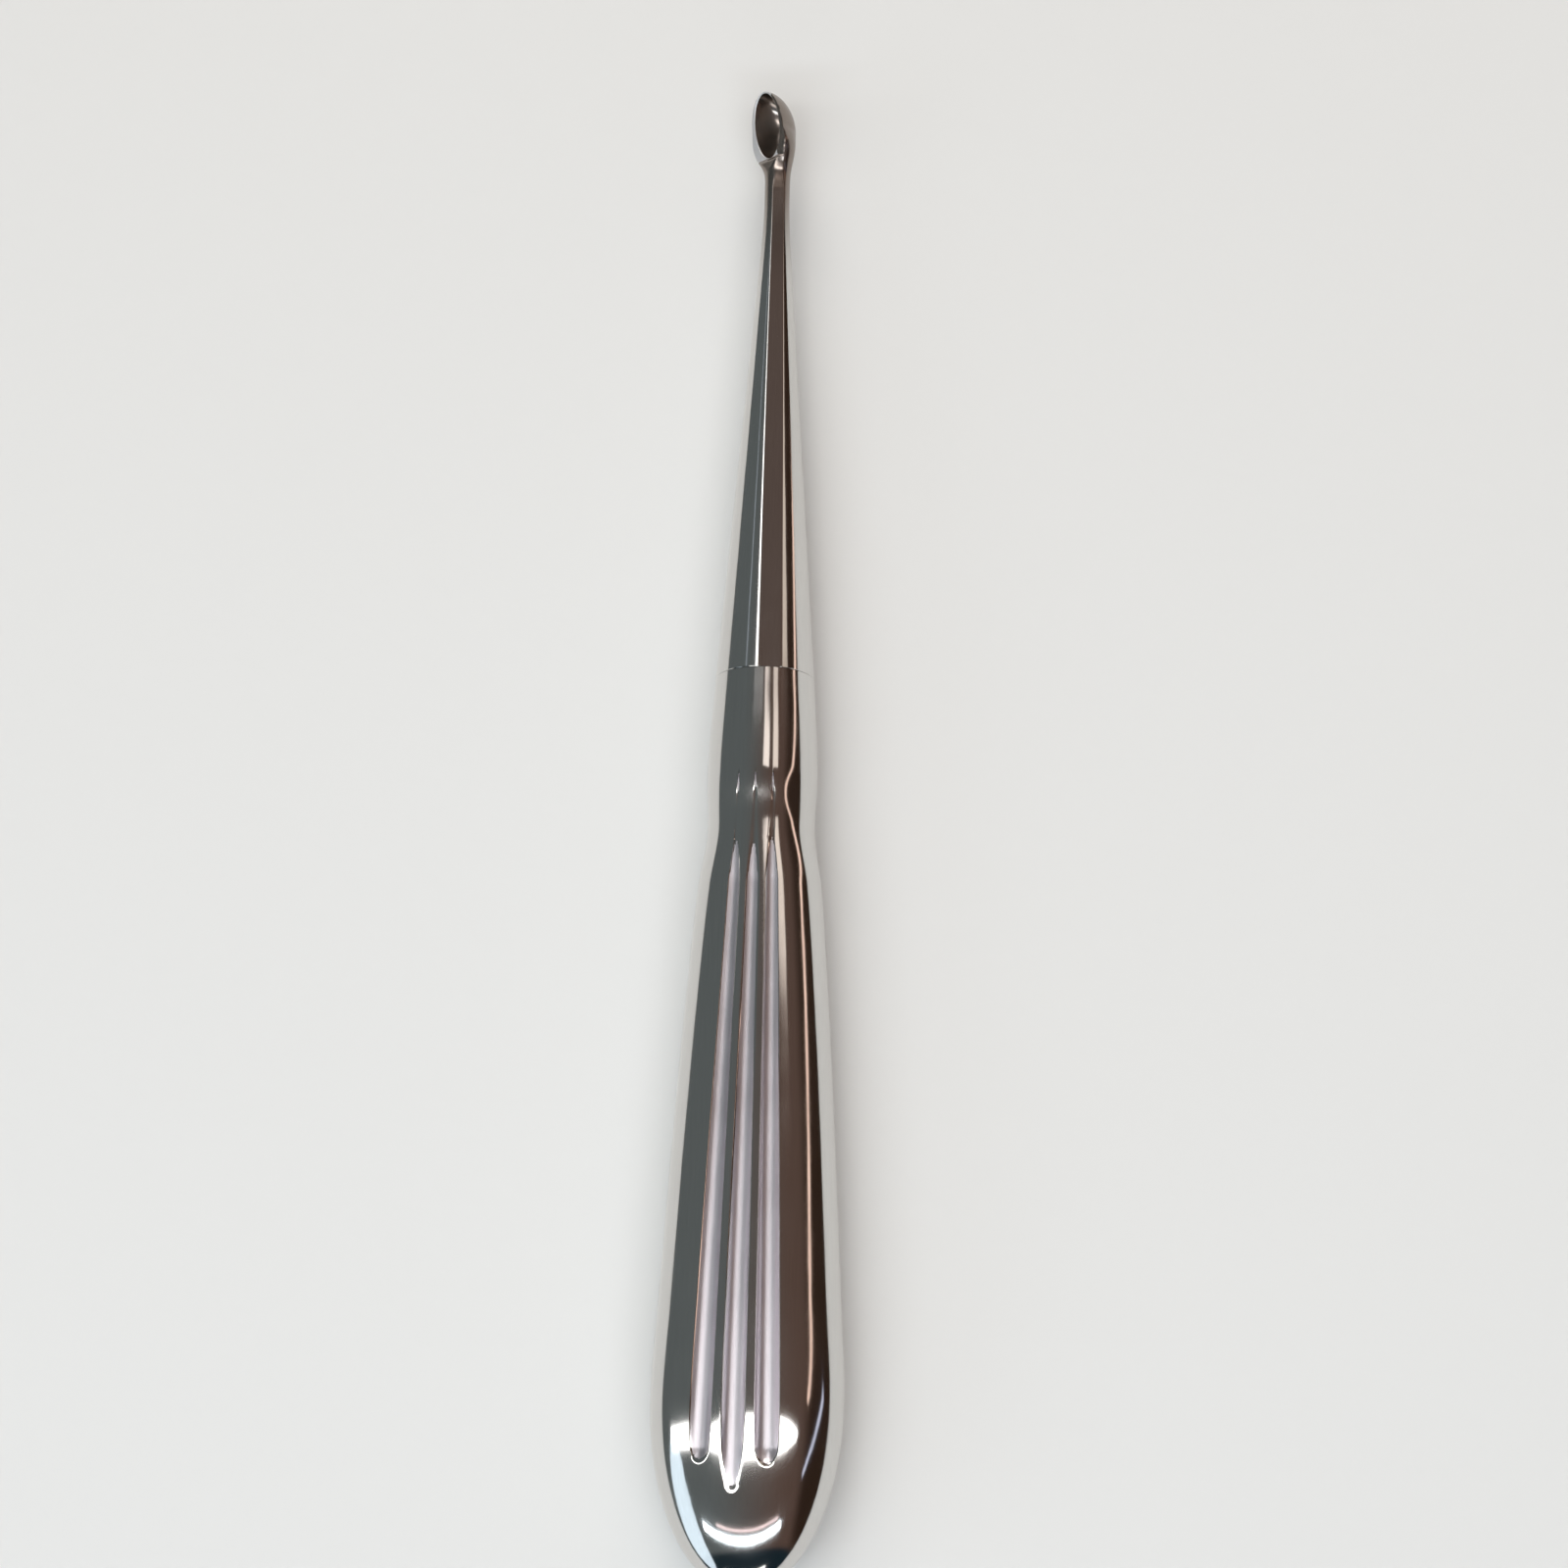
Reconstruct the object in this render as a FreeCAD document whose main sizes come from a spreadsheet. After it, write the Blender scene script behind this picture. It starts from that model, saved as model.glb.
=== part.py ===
import FreeCAD, Part
import math
import os

import Sketcher
from FreeCAD import Placement, Rotation, Vector

# Mastoid curette with a hollow fluted handle, all of polished stainless steel.
# Two pieces: the forged shank with its cup, and the handle it is brazed into.
# The pieces are modelled along Y: the butt end of the handle is at y = 0, the
# cup is at the far end, and the fluted face looks up, along +Z. They are laid
# down on the table, z = 0, at the very end.

SIZES = (
    # whole instrument, from the butt end to the tip of the cup
    ("overall_length", 170.0),
    # handle: width across the fluted face and thickness through it, station by station
    ("handle_length", 100.0),
    ("belly_station", 20.0),
    ("belly_width", 20.8),
    ("belly_thickness", 12.6),
    ("flank_station", 30.0),
    ("flank_width", 19.8),
    ("flank_thickness", 12.4),
    ("shoulder_station", 76.0),
    ("shoulder_width", 13.7),
    ("shoulder_thickness", 10.8),
    ("waist_station", 83.0),
    ("waist_width", 11.84),
    ("waist_thickness", 10.7),
    ("swell_station", 88.5),
    ("swell_width", 12.22),
    ("swell_thickness", 11.8),
    ("joint_diameter", 11.03),
    ("handle_wall", 1.2),
    # the back is dressed flat by this much where it touches the table, so that it lies still
    ("back_flat", 0.15),
    # flutes: three on each face, fanning out towards the butt end and leaning a little to the left
    ("flute_top_station", 88.0),
    ("flute_lead_length", 12.0),
    ("flute_end_station", 8.2),
    ("flute_end_length", 2.6),
    ("flute_side_setback", 3.8),
    ("flute_top_pitch", 2.0),
    ("flute_end_pitch", 3.6),
    ("flute_end_skew", -0.6),
    ("flute_top_radius", 0.8),
    ("flute_end_radius", 1.4),
    ("flute_top_depth", 0.35),
    ("flute_end_depth", 1.0),
    # shank: a straight cone down to a thin neck, with a tang in the handle's socket
    ("tang_diameter", 8.0),
    ("tang_length", 12.0),
    ("socket_gap", 0.05),
    ("neck_station", 155.0),
    ("neck_diameter", 2.86),
    ("neck_blend_reach", 2.5),
    ("flat_depth", 0.155),
    ("flat_turn", 13.0),
    ("flat_end_station", 160.0),
    # cup: a spoon bowl whose rim stands proud of the neck, turned about the shank and tilted
    ("cup_length", 8.6),
    ("cup_width", 5.0),
    ("cup_depth", 3.8),
    ("cup_rim_height", 1.8),
    ("cup_turn", 40.0),
    ("cup_tilt", 10.0),
    ("cup_wall", 0.5),
    ("cup_tip_wall", 0.18),
    ("cup_heel_wall", 0.75),
    ("heel_length", 4.8),
    ("heel_width", 5.7),
    ("heel_depth", 4.2),
    ("heel_setback", 1.9),
    ("heel_drop", 1.0),
    ("heel_crest", 0.05),
)

# how far apart the ovals of the handle lie
RING_SPACING = 2.0


def make_sheet(doc):
    """The driving sizes, one row each: its name in column A, its value in column B."""
    sheet = doc.addObject("Spreadsheet::Sheet", "Sizes")
    for row, (name, value) in enumerate(SIZES, start=1):
        sheet.set(f"A{row}", name)
        sheet.set(f"B{row}", str(value))
        sheet.setAlias(f"B{row}", name)
    doc.recompute()
    return sheet


def bind(item, **expressions):
    """Ties properties to the sheet; a double underscore stands for a dot in the path."""
    for path, expression in expressions.items():
        item.setExpression(path.replace("__", "."), expression)


def origin_plane(body, role):
    return next(f for f in body.Origin.OriginFeatures if f.Role == role)


def new_sketch(body, name, role):
    sketch = body.newObject("Sketcher::SketchObject", name)
    sketch.AttachmentSupport = [(origin_plane(body, role), "")]
    sketch.MapMode = "FlatFace"
    return sketch


def arc_edge(start, stop, sagitta):
    """A round edge that bulges to the right of the way from start to stop, or left if negative."""
    chord = stop - start
    radius = (chord.Length ** 2 / 4 + sagitta ** 2) / (2 * abs(sagitta))
    left = Vector(-chord.y, chord.x, 0).normalize()
    centre = (start + stop) / 2 + left * math.copysign(radius - abs(sagitta), sagitta)
    first, last = (start, stop) if sagitta > 0 else (stop, start)
    angles = [math.atan2(point.y - centre.y, point.x - centre.x) for point in (first, last)]
    return Part.ArcOfCircle(Part.Circle(centre, Vector(0, 0, 1), radius), *angles)


def hold(sketch, kind, edge, point, guess, expression):
    """Holds a point of an edge across or up from the origin, starting from a guess."""
    index = sketch.addConstraint(Sketcher.Constraint(kind, -1, 1, edge, point, guess))
    sketch.setExpression(f"Constraints[{index}]", expression)


def outline(sketch, corners, guesses, arcs=None):
    """A closed outline whose corners are each held by two expressions.

    arcs gives, for each edge that is round, its rough sagitta and how far its
    centre is held across (DistanceX) or up (DistanceY), which makes it run on
    from its neighbour without a kink."""
    arcs = arcs or {}
    count = len(corners)
    places = [Vector(*guess, 0) for guess in guesses]
    ends = []
    for here in range(count):
        start, stop = places[here], places[(here + 1) % count]
        sagitta = arcs[here][0] if here in arcs else 0
        sketch.addGeometry(arc_edge(start, stop, sagitta) if sagitta else Part.LineSegment(start, stop), False)
        ends.append((2, 1) if sagitta < 0 else (1, 2))
    for here in range(count):
        before = (here - 1) % count
        sketch.addConstraint(Sketcher.Constraint("Coincident", before, ends[before][1], here, ends[here][0]))
    for here, (across, up) in enumerate(corners):
        hold(sketch, "DistanceX", here, ends[here][0], places[here].x, across)
        hold(sketch, "DistanceY", here, ends[here][0], places[here].y, up)
    for here, (_, kind, expression) in arcs.items():
        centre = sketch.Geometry[here].Center
        hold(sketch, kind, here, 3, centre.x if kind == "DistanceX" else centre.y, expression)


def make_shank_and_cup(doc, sheet):
    """The forging: tang, cone, neck and cup, with a narrow flat ground along each side."""
    body = doc.addObject("PartDesign::Body", "shank_and_cup")
    body.Label = "shank_and_cup"
    middle = "(Sizes.overall_length - Sizes.cup_length / 2 * cos(Sizes.cup_tilt))"

    # turned form: tang, shoulder at the seam, cone, neck
    profile = new_sketch(body, "shank_profile", "XY_Plane")
    tang_end = "Sizes.handle_length - Sizes.tang_length"
    taper = "(Sizes.joint_diameter - Sizes.neck_diameter) / 2 / (Sizes.neck_station - Sizes.handle_length)"
    corners = (
        ("0", tang_end),
        ("Sizes.tang_diameter / 2", tang_end),
        ("Sizes.tang_diameter / 2", "Sizes.handle_length"),
        ("Sizes.joint_diameter / 2", "Sizes.handle_length"),
        (f"Sizes.neck_diameter / 2 + Sizes.neck_blend_reach * {taper}",
         "Sizes.neck_station - Sizes.neck_blend_reach"),
        ("Sizes.neck_diameter / 2", "Sizes.neck_station + Sizes.neck_blend_reach"),
        ("Sizes.neck_diameter / 2", middle),
        ("0", middle),
    )
    guesses = ((0, 88), (4, 88), (4, 100), (5.5, 100), (1.6, 153), (1.4, 157), (1.4, 166), (0, 166))
    level = "Sizes.neck_station + Sizes.neck_blend_reach"
    outline(profile, corners, guesses, {4: (-0.05, "DistanceY", level)})
    turned = body.newObject("PartDesign::Revolution", "turned_form")
    turned.Profile = profile
    turned.ReferenceAxis = (profile, ["V_Axis"])
    turned.Angle = 360
    doc.recompute()

    # the flats run parallel to the cone's side, from the seam to the heel of the cup
    trace = new_sketch(body, "flat_trace", "YZ_Plane")
    trace.AttachmentOffset = Placement(Vector(0, 0, 0), Rotation(Vector(1, 0, 0), sheet.flat_turn))
    bind(trace, AttachmentOffset__Rotation__Angle="Sizes.flat_turn")
    neck_floor = "Sizes.neck_diameter / 2 - Sizes.flat_depth"
    corners = (
        ("Sizes.handle_length", "Sizes.joint_diameter / 2 - Sizes.flat_depth"),
        ("Sizes.neck_station", neck_floor),
        ("Sizes.flat_end_station", neck_floor),
        ("Sizes.flat_end_station", "Sizes.joint_diameter"),
        ("Sizes.handle_length", "Sizes.joint_diameter"),
    )
    outline(trace, corners, ((100, 5.3), (155, 1.3), (160, 1.3), (160, 11), (100, 11)))
    flat = body.newObject("PartDesign::Pocket", "front_flat")
    flat.Profile = trace
    flat.Midplane = True
    bind(flat, Length="2 * Sizes.joint_diameter")
    flats = body.newObject("PartDesign::PolarPattern", "flats")
    flats.Originals = [flat]
    flats.Axis = (origin_plane(body, "Y_Axis"), [""])
    flats.Angle = 360
    flats.Occurrences = 2
    body.Tip = flats
    doc.recompute()

    # cup: a bowl about a rim plane that stands proud of the neck, turned about the shank and
    # tilted so that the tip is the highest; its heel takes in the end of the neck
    rim_place = (
        "placement(vector(-Sizes.cup_rim_height * sin(Sizes.cup_turn); {0};"
        " Sizes.cup_rim_height * cos(Sizes.cup_turn)); rotation(0; -Sizes.cup_turn; Sizes.cup_tilt))"
    ).format(middle)

    def seat(kind, name, across, along, up, **sizes):
        """A shape placed in the frame of the rim: across it, along it, and up from it."""
        item = body.newObject(kind, name)
        item.AttachmentSupport = [(origin_plane(body, "XY_Plane"), "")]
        item.MapMode = "FlatFace"
        offset = f"placement(vector({across}; {along}; {up}); rotation(0; 0; 0))"
        bind(item, AttachmentOffset=f"{rim_place} * {offset}", **sizes)
        doc.recompute()
        return item

    seat("PartDesign::AdditiveEllipsoid", "bowl", "0", "0", "0", Radius1="Sizes.cup_depth",
         Radius2="Sizes.cup_width / 2", Radius3="Sizes.cup_length / 2")
    seat("PartDesign::AdditiveEllipsoid", "heel", "0", "-Sizes.heel_setback", "-Sizes.heel_drop",
         Radius1="Sizes.heel_depth / 2", Radius2="Sizes.heel_width / 2", Radius3="Sizes.heel_length / 2")

    # the heel is ground level with the neck behind the rim
    crest = "(Sizes.neck_diameter / 2 + Sizes.heel_crest)"
    crest_place = (
        "placement(vector(-{0} * sin(Sizes.cup_turn); {1} - Sizes.cup_length;"
        " {0} * cos(Sizes.cup_turn)); rotation(0; -Sizes.cup_turn; 0))"
    ).format(crest, middle)
    crest_cut = body.newObject("PartDesign::SubtractiveBox", "heel_crest")
    crest_cut.AttachmentSupport = [(origin_plane(body, "XY_Plane"), "")]
    crest_cut.MapMode = "FlatFace"
    bind(crest_cut, AttachmentOffset=f"{crest_place} * placement(vector(-Sizes.cup_width; 0; 0); rotation(0; 0; 0))",
         Length="2 * Sizes.cup_width", Width="Sizes.cup_length", Height="2 * Sizes.cup_depth")
    doc.recompute()

    # the rim plane and the hollow start together at the heel and stop short of the tip's outside
    hollow_reach = "(Sizes.cup_length - Sizes.cup_heel_wall - Sizes.cup_tip_wall) / 2"
    hollow_shift = "(Sizes.cup_heel_wall - Sizes.cup_tip_wall) / 2"
    seat("PartDesign::SubtractiveBox", "rim_plane", "-Sizes.cup_width", f"{hollow_shift} - {hollow_reach}", "0",
         Length="2 * Sizes.cup_width", Width="Sizes.cup_length", Height="2 * Sizes.cup_depth")
    seat("PartDesign::SubtractiveEllipsoid", "hollow", "0", hollow_shift, "0",
         Radius1="Sizes.cup_depth - Sizes.cup_wall", Radius2="Sizes.cup_width / 2 - Sizes.cup_wall",
         Radius3=hollow_reach)
    return body


def oval(width, thickness, station):
    """One closed oval across the instrument, an exact ellipse at any ratio."""
    ring = Part.Wire(Part.makeCircle(1, Vector(0, 0, 0), Vector(0, -1, 0)))
    stretch = FreeCAD.Matrix()
    stretch.scale(width / 2, 1, thickness / 2)
    oval_wire = ring.transformGeometry(stretch)
    oval_wire.translate(Vector(0, station, 0))
    return oval_wire


def flowing(stations, values):
    """A smooth rise and fall through the values that never swings past one of them."""
    spans = [b - a for a, b in zip(stations, stations[1:])]
    slopes = [(b - a) / span for a, b, span in zip(values, values[1:], spans)]
    leans = [0.0]
    for before, after in zip(slopes, slopes[1:]):
        leans.append(2 * before * after / (before + after) if before * after > 0 else 0.0)
    leans.append(slopes[-1])

    def value_at(station):
        here = max(k for k in range(len(spans)) if k == 0 or station >= stations[k])
        share = (station - stations[here]) / spans[here]
        ease = share * share * (3 - 2 * share)
        start_pull = share * (1 - share) ** 2 * spans[here]
        stop_pull = share ** 2 * (share - 1) * spans[here]
        rise = values[here + 1] - values[here]
        return values[here] + ease * rise + start_pull * leans[here] + stop_pull * leans[here + 1]

    return value_at


def handle_form(sheet, end, wall):
    """A smooth closed form through ovals, from the rounded butt up to the end station.

    With a wall it is the space inside the handle, which also stays a wall's
    thickness below the flutes."""
    parts = ("belly", "flank", "shoulder", "waist", "swell")
    stations = [getattr(sheet, f"{part}_station") for part in parts] + [sheet.handle_length]
    widths = [getattr(sheet, f"{part}_width") for part in parts] + [sheet.joint_diameter]
    thicknesses = [getattr(sheet, f"{part}_thickness") for part in parts] + [sheet.joint_diameter]
    width_at = flowing(stations, widths)
    thickness_at = flowing(stations, thicknesses)
    belly = sheet.belly_station
    depth_rise = (sheet.flute_end_depth - sheet.flute_top_depth) / (sheet.waist_station - belly)

    def ring(station, shrink=1.0, place=None):
        sunk = wall + sheet.flute_end_depth - depth_rise * (station - belly) if wall else 0
        across = (width_at(station) - 2 * wall) * shrink
        through = (thickness_at(station) - 2 * sunk) * shrink
        return oval(across, through, station if place is None else place)

    # the butt is the half of an ellipsoid; its first oval closes it right on the end
    reach = belly - wall
    rings = [ring(belly, math.cos(math.radians(89)), wall)]
    for angle in range(80, 0, -16):
        turn = math.radians(angle)
        rings.append(ring(belly, math.cos(turn), belly - reach * math.sin(turn)))
    steps = math.ceil((end - belly) / RING_SPACING)
    rings += [ring(belly + (end - belly) * step / steps) for step in range(steps + 1)]
    return Part.makeLoft(rings, True)


def make_handle(doc, sheet):
    """The hollow handle: a fluted paddle, a waist, and a round neck with the socket."""
    outside = doc.addObject("Part::Feature", "handle_outside")
    outside.Shape = handle_form(sheet, sheet.handle_length, 0)

    # the back flat dresses belly and swell alike, so it slopes from one to the other
    back_flat = doc.addObject("Part::Box", "back_flat")
    rise = "(Sizes.belly_thickness - Sizes.swell_thickness) / 2"
    slope = f"atan({rise} / (Sizes.swell_station - Sizes.belly_station))"
    on_belly = (
        "placement(vector(0; Sizes.belly_station; Sizes.back_flat - Sizes.belly_thickness / 2);"
        f" rotation(0; 0; {slope}))"
    )
    corner = (
        "placement(vector(-Sizes.belly_width; -Sizes.handle_length; -Sizes.belly_thickness);"
        " rotation(0; 0; 0))"
    )
    bind(back_flat, Length="2 * Sizes.belly_width", Width="2 * Sizes.handle_length",
         Height="Sizes.belly_thickness", Placement=f"{on_belly} * {corner}")
    dressed = doc.addObject("Part::Cut", "handle_dressed")
    dressed.Base = outside
    dressed.Tool = back_flat

    inside = doc.addObject("Part::Feature", "handle_inside")
    inside.Shape = handle_form(sheet, sheet.handle_length - sheet.tang_length, sheet.handle_wall)
    shell = doc.addObject("Part::Cut", "handle_shell")
    shell.Base = dressed
    shell.Tool = inside

    # the socket runs from the hollow out to the seam
    socket = doc.addObject("Part::Cylinder", "socket")
    socket.Placement = Placement(Vector(0, 0, 0), Rotation(Vector(1, 0, 0), -90))
    bind(socket, Radius="Sizes.tang_diameter / 2 + Sizes.socket_gap", Height="Sizes.tang_length + Sizes.handle_wall",
         Placement__Base__y="Sizes.handle_length - Sizes.tang_length - Sizes.handle_wall")

    cutters = [flute_cutter(doc, sheet, side) for side in (-1, 0, 1)]
    backs = []
    for cutter in cutters:
        back = doc.addObject("Part::Mirroring", f"back_{cutter.Name}")
        back.Source = cutter
        back.Normal = Vector(0, 0, 1)
        backs.append(back)
    tools = doc.addObject("Part::MultiFuse", "handle_cuts")
    tools.Shapes = [socket] + cutters + backs
    handle = doc.addObject("Part::Cut", "handle")
    handle.Label = "handle"
    handle.Base = shell
    handle.Tool = tools
    doc.recompute()
    return handle


def flute_cutter(doc, sheet, side):
    """A slim turned form that cuts one flute: pointed at the top, blunt at the butt end.

    Its axis starts over the waist and ends over the belly, at a height that
    leaves the flute the wanted depth where the oval has fallen away to the side."""
    name = {-1: "flute_left", 0: "flute_middle", 1: "flute_right"}[side]

    def axis_height(part, pitch, end):
        fall = f"sqrt(1 - ({side} * 2 * Sizes.{pitch} / Sizes.{part}_width)^2)"
        return f"(Sizes.{part}_thickness / 2 * {fall} + Sizes.{end}_radius - Sizes.{end}_depth)"

    top = axis_height("waist", "flute_top_pitch", "flute_top")
    end = axis_height("belly", "flute_end_pitch", "flute_end")
    run = "(Sizes.waist_station - Sizes.belly_station)"
    last = "(Sizes.flute_end_station + {} * Sizes.flute_side_setback)".format(abs(side))

    def height_at(station):
        return f"({end} + ({top} - {end}) * ({station} - Sizes.belly_station) / {run})"

    lead = "(Sizes.flute_top_station - Sizes.flute_lead_length)"
    blunt = f"({last} + Sizes.flute_end_length)"
    corners = (
        ("Sizes.flute_top_station", height_at("Sizes.flute_top_station")),
        (last, height_at(last)),
        (blunt, f"{height_at(blunt)} + Sizes.flute_end_radius"),
        (lead, f"{height_at(lead)} + Sizes.flute_top_radius"),
    )
    guesses = ((88, 6), (8, 7), (11, 8.4), (76, 6.8))
    profile = doc.addObject("Sketcher::SketchObject", f"{name}_profile")
    arcs = {1: (-0.8, "DistanceX", blunt)}
    outline(profile, corners, guesses, arcs)

    # the sketch stands upright along the flute's line, which fans out from the middle
    fan = f"atan(({side} * (Sizes.flute_end_pitch - Sizes.flute_top_pitch) + Sizes.flute_end_skew) / {run})"
    across = f"({side} * Sizes.flute_end_pitch + Sizes.flute_end_skew + Sizes.belly_station * tan({fan}))"
    bind(profile, Placement=f"placement(vector({across}; 0; 0); rotation(90 deg + {fan}; 0 deg; 90 deg))")

    cutter = doc.addObject("Part::Revolution", name)
    cutter.Source = profile
    cutter.AxisLink = (profile, ["Edge1"])
    cutter.Solid = True
    cutter.Angle = 360
    doc.recompute()
    return cutter


def seat_on_table(sheet, parts):
    """Lays the instrument down on the flats of its belly and of the swelling of its neck.

    The weight lies between the two, so the cup stands free of the table. The
    origin ends up under the middle of the instrument."""
    rise = (sheet.belly_thickness - sheet.swell_thickness) / 2
    tilt = math.degrees(math.atan2(rise, sheet.swell_station - sheet.belly_station))
    lean = Placement(Vector(0, 0, 0), Rotation(Vector(1, 0, 0), -tilt))
    laid = Part.makeCompound([part.Shape.transformed(lean.toMatrix()) for part in parts])
    box = laid.optimalBoundingBox(False, False)
    flat = lean.multVec(Vector(0, sheet.belly_station, sheet.back_flat - sheet.belly_thickness / 2))
    drop = Placement(Vector(-box.Center.x, -box.Center.y, -flat.z), Rotation())
    for part in parts:
        part.Placement = drop * lean


def check(doc, parts):
    for item in doc.Objects:
        if "Invalid" in item.State or "Error" in item.State:
            raise RuntimeError(f"{item.Label} failed: {item.State}")
    for part in parts:
        if part.Shape.isNull() or not part.Shape.isValid() or len(part.Shape.Solids) != 1:
            raise RuntimeError(f"{part.Label} is not one sound solid")


def main():
    doc = FreeCAD.newDocument("mastoid_curette")
    sheet = make_sheet(doc)
    parts = [make_shank_and_cup(doc, sheet), make_handle(doc, sheet)]
    check(doc, parts)
    seat_on_table(sheet, parts)
    doc.recompute()
    check(doc, parts)
    os.makedirs("parts", exist_ok=True)
    for part in parts:
        part.Shape.exportStep(f"parts/{part.Label}.step")
        box = part.Shape.optimalBoundingBox(False, False)
        print(f"{part.Label}: {part.Shape.Volume:.1f} mm3, x {box.XMin:.2f} to {box.XMax:.2f},"
              f" y {box.YMin:.2f} to {box.YMax:.2f}, z {box.ZMin:.2f} to {box.ZMax:.2f}")


main()
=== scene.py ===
import math

import bpy
from mathutils import Matrix, Vector


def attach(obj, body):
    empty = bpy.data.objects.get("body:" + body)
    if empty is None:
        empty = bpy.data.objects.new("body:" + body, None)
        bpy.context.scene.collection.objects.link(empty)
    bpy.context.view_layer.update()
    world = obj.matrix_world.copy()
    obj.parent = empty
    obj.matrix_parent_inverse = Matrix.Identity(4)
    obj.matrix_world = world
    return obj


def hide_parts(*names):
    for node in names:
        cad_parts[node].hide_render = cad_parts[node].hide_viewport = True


# Mastoid curette of polished stainless steel: a forged shank that ends in a turned
# cup, brazed into a hollow handle with three ground flutes on each face.
# Lengths are in millimetres and counted along the instrument from the butt end of
# the handle; "up" is out of the fluted face. laid() puts a point where it lies.

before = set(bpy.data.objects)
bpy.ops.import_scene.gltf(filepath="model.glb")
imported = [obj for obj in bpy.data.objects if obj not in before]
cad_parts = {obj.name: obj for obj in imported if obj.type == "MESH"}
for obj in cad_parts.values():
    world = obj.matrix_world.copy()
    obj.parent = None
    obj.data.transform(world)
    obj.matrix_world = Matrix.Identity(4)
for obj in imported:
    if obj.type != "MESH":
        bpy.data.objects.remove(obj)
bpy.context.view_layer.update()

# how it lies on its back: the tilt of its axis, and the y and z of the butt end on that axis
LEAN = math.radians(0.33457)
BUTT_PLACE = (-85.02819, 6.26668)

# handle: stations, and its width and thickness there
BELLY, WAIST, SWELL, HANDLE_LENGTH = 20.0, 83.0, 88.5, 100.0
JOINT_RADIUS = 5.515
BELLY_OVAL = (20.8, 12.6)
WAIST_OVAL = (11.84, 10.7)
SWELL_OVAL = (12.22, 11.8)
OVALS = (
    (BELLY, *BELLY_OVAL),
    (30.0, 19.8, 12.4),
    (76.0, 13.7, 10.8),
    (WAIST, *WAIST_OVAL),
    (SWELL, *SWELL_OVAL),
    (HANDLE_LENGTH, 2 * JOINT_RADIUS, 2 * JOINT_RADIUS),
)
SEAM_BEVEL = 0.06
# the back is dressed flat by this much where it touches the table
BACK_FLAT, BACK_SOFT = 0.15, 0.02

# flutes: they run from FLUTE_END to FLUTE_TOP and get shallow from FLUTE_LEAD on
FLUTE_TOP, FLUTE_LEAD = 88.0, 76.0
FLUTE_END, FLUTE_SIDE_SETBACK, FLUTE_BLUNT = 8.2, 3.8, 2.6
FLUTE_PITCH = (3.6, 2.0)      # over the belly, over the waist
FLUTE_RADIUS = (1.4, 0.8)
FLUTE_DEPTH = (1.0, 0.35)
FLUTE_SKEW = -0.6
LAND_ROUND = 0.3
# half widths that the mesh keeps for a flute past its ends: towards the butt, towards the neck
NARROWEST = (0.5, 0.12)
HALVINGS = 30
# past these stations the mesh's columns go on as they are there
GUIDED = (9.0, 89.0)

# shank: tang, cone with its flats, neck
TANG_RADIUS, TANG_START, SOCKET_GAP = 4.0, 88.0, 0.05
NECK, NECK_RADIUS, NECK_REACH = 155.0, 1.43, 2.5
FLAT_DEPTH, FLAT_TURN, FLAT_END = 0.155, math.radians(13), 160.0
FLAT_FADE, FLAT_SOFT = 3.0, 0.02
FLAT_REACH = 0.5              # a flat lies where the sine of the turn is above this

# cup: a bowl turned about the shank and tilted up towards its tip
CUP_TURN, CUP_TILT = math.radians(40), math.radians(10)
RIM_HEIGHT = 1.8
BOWL = (2.5, 4.3, 3.8)        # half width, half length, depth
BOWL_SECTION = 3.81           # half height of the tilted bowl's section at its middle
CUP_MIDDLE = 170.0 - BOWL[1] * math.cos(CUP_TILT)
BOWL_TIP = math.hypot(BOWL[1] * math.cos(CUP_TILT), BOWL[2] * math.sin(CUP_TILT))
TIP_LIFT = RIM_HEIGHT + 0.162
HOLLOW = (2.0, 3.835, 3.3)
HOLLOW_SHIFT = 0.285
# the form is ground down to the rim's plane from GROUND_FROM on, by way of the heel's step
GROUND_FROM, GROUND_SOFT, LEAST_SOFT = 159.5, 0.15, 0.001
HEEL_CREST, HEEL_START, HEEL_LENGTH = 0.05, 161.75, 0.6
LIP = 0.06


def laid(across, along, up):
    """Where a point of the instrument lies on the table, in metres."""
    y = along * math.cos(LEAN) + up * math.sin(LEAN) + BUTT_PLACE[0]
    z = up * math.cos(LEAN) - along * math.sin(LEAN) + BUTT_PLACE[1]
    return Vector((across, y, z)) / 1000


def on_instrument(place):
    """Across, along and up of a point that lies on the table; laid() the other way round."""
    y, z = place.y * 1000 - BUTT_PLACE[0], place.z * 1000 - BUTT_PLACE[1]
    along = y * math.cos(LEAN) - z * math.sin(LEAN)
    return place.x * 1000, along, z * math.cos(LEAN) + y * math.sin(LEAN)


def flowing(stations, values):
    """A smooth rise and fall through the values that never swings past one of them."""
    spans = [b - a for a, b in zip(stations, stations[1:])]
    slopes = [(b - a) / span for a, b, span in zip(values, values[1:], spans)]
    leans = [0.0]
    for before, after in zip(slopes, slopes[1:]):
        leans.append(2 * before * after / (before + after) if before * after > 0 else 0.0)
    leans.append(slopes[-1])

    def value_at(station):
        here = max(k for k in range(len(spans)) if k == 0 or station >= stations[k])
        share = (station - stations[here]) / spans[here]
        start_pull = share * (1 - share) ** 2 * spans[here]
        stop_pull = share ** 2 * (share - 1) * spans[here]
        rise = values[here + 1] - values[here]
        pulls = start_pull * leans[here] + stop_pull * leans[here + 1]
        return values[here] + eased(share) * rise + pulls

    return value_at


def mix(a, b, share):
    return a + (b - a) * share


def held(share):
    """The share, kept from 0 to 1."""
    return min(max(share, 0.0), 1.0)


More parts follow.
